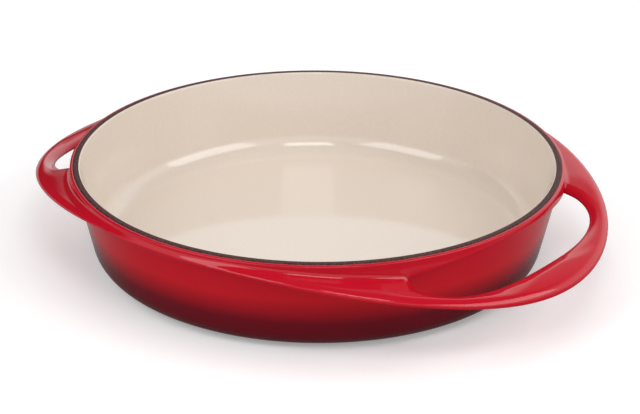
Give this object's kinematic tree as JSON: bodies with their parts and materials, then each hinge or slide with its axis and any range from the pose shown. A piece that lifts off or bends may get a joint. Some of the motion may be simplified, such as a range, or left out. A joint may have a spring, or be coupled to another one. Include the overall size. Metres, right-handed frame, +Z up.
{
  "type": "tarte tatin dish",
  "caption": "Round shallow enamelled cast-iron baking dish with flared wall, dark rim, foot ring and an oval flange that drops at each end into a pierced loop handle.",
  "frame": {"origin": "centre of the dish at the level that its foot ring stands on", "axes": "+X runs along the handles, +Z is up out of the bowl, +Y is across the handles"},
  "size_m": [0.3246, 0.2614, 0.054],
  "materials": {
    "iron": "sand-cast grey iron, bare only on the foot ring",
    "red_gloss_enamel": "glossy vitreous enamel, bright red at the flange and dark wine red at the foot",
    "sand_gloss_enamel": "glossy vitreous enamel, sand colour",
    "matt_dark_enamel": "matt vitreous ground-coat enamel, dark brown",
    "wine_gloss_enamel": "glossy vitreous enamel, dark wine red"
  },
  "bodies": {
    "root": {"iron_casting": "iron", "exterior_enamel": "red_gloss_enamel", "interior_enamel": "sand_gloss_enamel", "rim_enamel": "matt_dark_enamel", "underside_enamel": "wine_gloss_enamel"}
  },
  "joints": []
}
